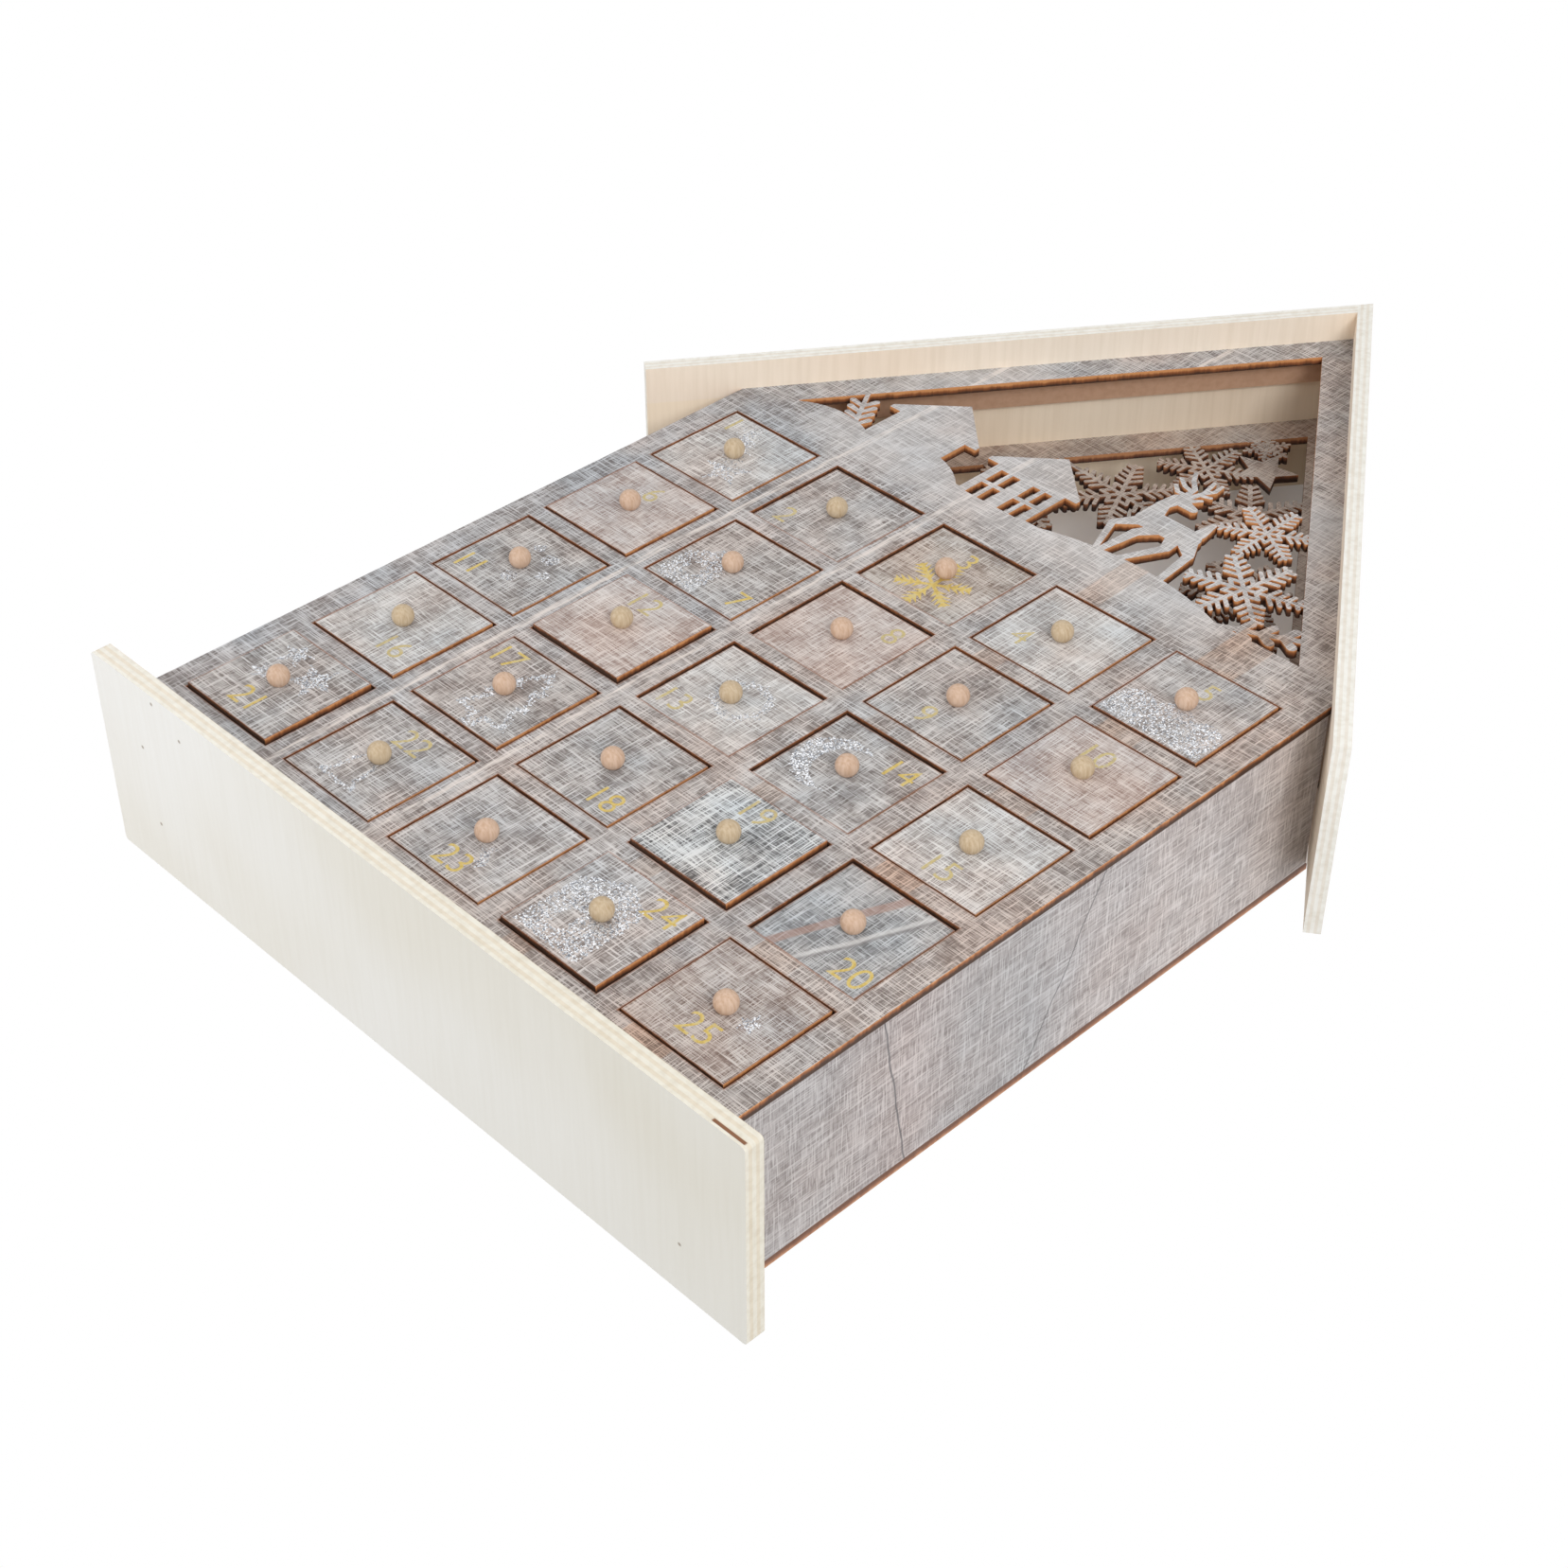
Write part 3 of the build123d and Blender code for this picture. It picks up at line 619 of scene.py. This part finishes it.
flake_radius, flake_bar, barb_width = 0.0128, 0.0013, 0.0014
barbs = ((0.30, 0.22), (0.48, 0.28), (0.66, 0.25), (0.83, 0.16))
barb_turn = math.radians(52)
flake_drawer = 3
flake_place = Vector((0.0006, 0, -0.0068))
half = flake_bar / 2
side_line = [(half / math.tan(math.radians(30)), half)]
for root, length in barbs:
    reach = Vector((math.cos(barb_turn), math.sin(barb_turn))) * length * flake_radius
    start = Vector((root * flake_radius, half))
    end = start + Vector((barb_width / math.sin(barb_turn), 0))
    side_line += [tuple(start), tuple((start + end) / 2 + reach), tuple(end)]
side_line.append((flake_radius, half * 0.5))
arm_line = side_line + [(reach, -width) for reach, width in reversed(side_line)][:-1]
outline = []
for arm in range(6):
    turn = math.radians(90 - 60 * arm)
    for reach, width in arm_line:
        x = reach * math.cos(turn) - width * math.sin(turn)
        z = reach * math.sin(turn) + width * math.cos(turn)
        outline.append((x, z))
solid = bmesh.new()
slab(solid, outline, drawer_front(flake_drawer) + flake_place, -foil / 2, foil / 2)
set_on_drawer("gold_snowflake", flake_drawer, solid, foil_finishes["bright"])


# Glitter: silver flakes sprinkled on glue, in plain winter shapes on about half the drawers: snow banks,
# houses, stars, a moon, a wreath, a tree and a bell. Places are millimetres from the middle of the front.
glitter, tree = new_finish("silver_glitter")
# Painted glint: each flake gets its own brightness, from dark grey to near white, as if catching the light at
# its own angle.
glint = step(tree, "TexVoronoi", {"Vector": where(tree), "Scale": 2600.0}, "Color")
spark = along(tree, glint, rightward)
paint = shade(tree, spark, (0.1, colour(118, 122, 130)), (0.45, colour(192, 195, 201)),
              (0.8, colour(246, 247, 250)))
coat(tree, paint, fade(tree, spark, 0.0, 1.0, 0.5, 0.25), spark, 0.00002)
tree.nodes["Principled BSDF"].inputs["Metallic"].default_value = 0.4


def star_shape(x, z, outer, inner, points, turn=0.0):
    """Corners of a star, its points reaching outer and its notches inner."""
    corners = []
    for corner in range(2 * points):
        reach = inner if corner % 2 else outer
        angle = math.radians(90 + turn + corner * 180 / points)
        corners.append((x + reach * math.cos(angle), z + reach * math.sin(angle)))
    return corners


def round_shape(x, z, radius, start=0.0, end=360.0, steps=24):
    """Corners along a circle, or along the arc of it from start to end, in degrees."""
    angles = [math.radians(start + (end - start) * i / steps) for i in range(steps + (end - start < 360))]
    return [(x + radius * math.cos(a), z + radius * math.sin(a)) for a in angles]


def inside(x, z, corners):
    """Whether a place lies inside a closed shape."""
    within = False
    for (x1, z1), (x2, z2) in zip(corners, corners[1:] + corners[:1]):
        if (z1 > z) != (z2 > z) and x < x1 + (z - z1) / (z2 - z1) * (x2 - x1):
            within = not within
    return within


def fill(shape, count, holes=()):
    """Random places inside a shape and outside its holes."""
    xs, zs = [x for x, z in shape], [z for x, z in shape]
    places = []
    while len(places) < count:
        x, z = chance.uniform(min(xs), max(xs)), chance.uniform(min(zs), max(zs))
        if inside(x, z, shape) and not any(inside(x, z, hole) for hole in holes):
            places.append((x, z))
    return places


def trail(path, width, count):
    """Random places along a bent line."""
    lengths = [math.dist(a, b) for a, b in zip(path, path[1:])]
    places = []
    for leg, ((x1, z1), (x2, z2)) in enumerate(zip(path, path[1:])):
        for flake in range(round(count * lengths[leg] / sum(lengths))):
            share = chance.random()
            x = x1 + (x2 - x1) * share + chance.gauss(0, width / 2)
            z = z1 + (z2 - z1) * share + chance.gauss(0, width / 2)
            places.append((x, z))
    return places


chance = random.Random(25)
bank = [(-19, -18.6), (19, -18.6), (19, -9)]
for x, z, radius, start, end in ((12.5, -8.5, 6.5, 0, 160), (0, -8, 7.5, 20, 160), (-12.5, -9, 6.5, 20, 180)):
    bank += round_shape(x, z, radius, start, end, 8)
cabin = [(-18, -18.5), (0, -18.5), (0, -3), (-9, 6), (-18, -3)]
cabin_window = [(-11.5, -12), (-6.5, -12), (-6.5, -6), (-11.5, -6)]
house = [(-17, -18), (9, -18), (9, 7.7), (-3.4, 15.5), (-17, 7.7)]
house_window = [(-9, -12), (-4, -12), (-4, -3), (-9, -3)]
moon = round_shape(-6, 0, 13, 60, 300, 20) + round_shape(-0.5, 0, 11, 285, 75, 16)
wreath = round_shape(3, 2, 8.5, 0, 350, 20)
pine = [
    (4, 16), (10, 6), (7, 6), (12.5, -3), (9, -3), (14, -13), (6, -13), (6, -18),
    (2, -18), (2, -13), (-6, -13), (-1, -3), (-4.5, -3), (1, 6), (-2, 6), (4, 16),
]
bell = [
    (-10, -15), (-7, -12), (-6.5, -5), (-4.5, -0.5), (-2, 1.5),
    (0.5, -0.5), (2.5, -5), (3, -12), (6, -15), (-10, -15),
]
snowballs = ((-3, 11, 2.2, 34), (5, 8.5, 3, 60), (10, 1, 2.4, 38), (2, -6.5, 2.8, 54), (-5.5, 3, 1.8, 22))
three_stars = ((-8, 12.5, 6.5, 10, 150), (6.5, 8, 9, -14, 290), (-9, 0, 4.5, 30, 75))
sprinkles = {
    1: fill(star_shape(5, -8.5, 9.5, 4, 5, 20), 230) + trail([(2, -4), (-7, 16)], 3.6, 240),
    5: fill(bank, 1200),
    7: fill(cabin, 560, [cabin_window]),
    11: sum((fill(round_shape(x, z, r), n) for x, z, r, n in snowballs), []),
    13: trail(wreath, 1.8, 260),
    14: fill(moon, 620),
    17: trail(pine, 1.3, 560),
    21: sum((fill(star_shape(x, z, r, r * 0.42, 5, t), n) for x, z, r, t, n in three_stars), []),
    22: trail(bell, 0.8, 240),
    23: trail([(4, -2), (8, -10)], 1.8, 90),
    24: fill(house, 1600, [house_window]),
    25: fill(star_shape(8.5, 0.5, 4.4, 1.9, 5, 8), 64),
}
front_reach, knob_reach = 19.2, 3.0
smallest_flake, largest_flake, flake_tilt = 0.00022, 0.00038, 0.1
flake_front, flake_back = -0.00006, 0.00001
sixth_turns = [math.radians(60 * i) for i in range(6)]
for number, places in sprinkles.items():
    solid = bmesh.new()
    middle = drawer_front(number)
    for x, z in places:
        if max(abs(x), abs(z)) > front_reach or math.hypot(x, z) < knob_reach:
            continue
        size = chance.uniform(smallest_flake, largest_flake)
        spin = Matrix.Rotation(chance.uniform(0, math.tau), 3, "Y")
        nod = Matrix.Rotation(chance.uniform(-flake_tilt, flake_tilt), 3, "X")
        roll = Matrix.Rotation(chance.uniform(-flake_tilt, flake_tilt), 3, "Z")
        seat = middle + Vector((x / 1000, 0, z / 1000))
        hexagon = [(size * math.cos(turn), size * math.sin(turn)) for turn in sixth_turns]
        slab(solid, hexagon, seat, flake_front, flake_back, nod @ roll @ spin)
    bmesh.ops.recalc_face_normals(solid, faces=solid.faces)
    set_on_drawer(f"glitter_{number:02d}", number, solid, glitter)


# Floor and light: a plain pale floor just under the base board, a white surround and large soft lamps.
# A pale card stands in the open back of the gable.
floor_level, floor_reach = -0.0006, 6
floor_thins, floor_ends = 0.5, 2.2
floor_glow = 0.24
card_foot, card_dim = 0.265, 0.37
card_glow, card_least_glow = 0.38, 0.09


def looked_at(tree):
    """1 for light that goes to the eye, straight or by way of gloss or glass."""
    ray = tree.nodes.new("ShaderNodeLightPath").outputs
    seen = reckon(tree, "MAXIMUM", ray["Is Camera Ray"], ray["Is Glossy Ray"])
    return reckon(tree, "MAXIMUM", seen, ray["Is Transmission Ray"])


def stage_sheet(name, corners, tone, holds_light):
    """A pale flat sheet that shows from its front only. One that holds back light glows a little, and
    less towards the ridge; one that doesn't is clear to all light but what goes to the eye, and thins
    out with distance."""
    finish, tree = new_finish(name + "_pale")
    shader = tree.nodes["Principled BSDF"]
    place = where(tree)
    speckle = mottle(tree, place, 40.0)
    paint = shade(tree, speckle, (0.3, tint(*(c * 0.985 for c in tone))), (0.7, tint(*tone)))
    tree.links.new(paint, shader.inputs["Base Color"])
    shader.inputs["Roughness"].default_value = 0.95
    shader.inputs["Specular IOR Level"].default_value = 0.0
    tree.links.new(paint, shader.inputs["Emission Color"])
    clear = product(tree, looked_at(tree), step(tree, "NewGeometry", out="Backfacing"))
    if holds_light:
        # Painted light: the card glows, and its glow falls off towards the ridge as painted shade.
        glow = fade(tree, along(tree, place, upward), card_foot, card_dim, card_glow, card_least_glow)
    else:
        glow = product(tree, looked_at(tree), floor_glow)
        away = step(tree, "VectorMath", {0: place}, "Value", operation="LENGTH")
        unseen = reckon(tree, "SUBTRACT", 1.0, looked_at(tree))
        clear = reckon(tree, "MAXIMUM", clear, unseen)
        clear = reckon(tree, "MAXIMUM", clear, fade(tree, away, floor_thins, floor_ends))
    tree.links.new(glow, shader.inputs["Emission Strength"])
    shown = step(tree, "MixShader", {0: clear, 1: shader.outputs[0], 2: step(tree, "BsdfTransparent")})
    tree.links.new(shown, tree.nodes["Material Output"].inputs["Surface"])
    mesh = bpy.data.meshes.new(name)
    mesh.from_pydata(corners, [], [range(len(corners))])
    mesh.materials.append(finish)
    sheet = bpy.data.objects.new(name, mesh)
    bpy.context.collection.objects.link(sheet)


floor_corners = [(-1, -1), (1, -1), (1, 1), (-1, 1)]
floor_corners = [(x * floor_reach, y * floor_reach, floor_level) for x, y in floor_corners]
stage_sheet("floor", floor_corners, (0.9, 0.9, 0.9), False)
card_corners = [(-0.1325, 0.0343, 0.2605), (0.1325, 0.0343, 0.2605), (0.0, 0.0343, 0.4497)]
stage_sheet("ground_card", card_corners, (0.8, 0.785, 0.775), True)

ambient = 0.585
world = bpy.data.worlds.new("surround")
bpy.context.scene.world = world
world.use_nodes = True
tree = world.node_tree
surround = tree.nodes["Background"]
surround.inputs["Color"].default_value = (1.0, 1.0, 1.0, 1.0)
strength = reckon(tree, "MULTIPLY_ADD", looked_at(tree), 1.0 - ambient, ambient)
tree.links.new(strength, surround.inputs["Strength"])

# Where each lamp stands, its width and its power.
lamps = {
    "lamp_right": ((1.25, -1.05, -0.35), 0.68, 13.4),
    "lamp_low": ((-0.6, -0.38, -0.7), 0.6, 3.4),
    "lamp_upper_left": ((-0.9, -1.4, 1.3), 1.4, 2.5),
    "lamp_behind": ((0.6, 1.8, 1.6), 1.6, 12.0),
    "lamp_front": ((0.4, -1.5, -0.55), 0.9, 1.7),
}
lamp_aim = Vector((0, 0, 0.2))
for name, (stand_at, size, power) in lamps.items():
    lamp = bpy.data.lights.new(name, "AREA")
    lamp.shape = "DISK"
    lamp.size = size
    lamp.energy = power
    lamp_stand = bpy.data.objects.new(name, lamp)
    lamp_stand.location = stand_at
    lamp_stand.visible_camera = False
    lamp_stand.rotation_euler = (lamp_aim - lamp_stand.location).to_track_quat("-Z", "Y").to_euler()
    bpy.context.collection.objects.link(lamp_stand)


# Camera: below the right front corner, looking up along the front, so that the house seems to lie on
# its back.
view = bpy.data.cameras.new("viewpoint")
view.lens = 63.05
view.sensor_width = 36.0
stand = bpy.data.objects.new("viewpoint", view)
stand.matrix_world = Matrix((
    (0.69711, -0.45110, 0.55726, 0.4912),
    (-0.00231, -0.77866, -0.62744, -0.5342),
    (0.71696, 0.43611, -0.54386, -0.3239),
    (0.0, 0.0, 0.0, 1.0),
))
bpy.context.collection.objects.link(stand)
bpy.context.scene.camera = stand
bpy.context.scene.view_settings.view_transform = "Standard"
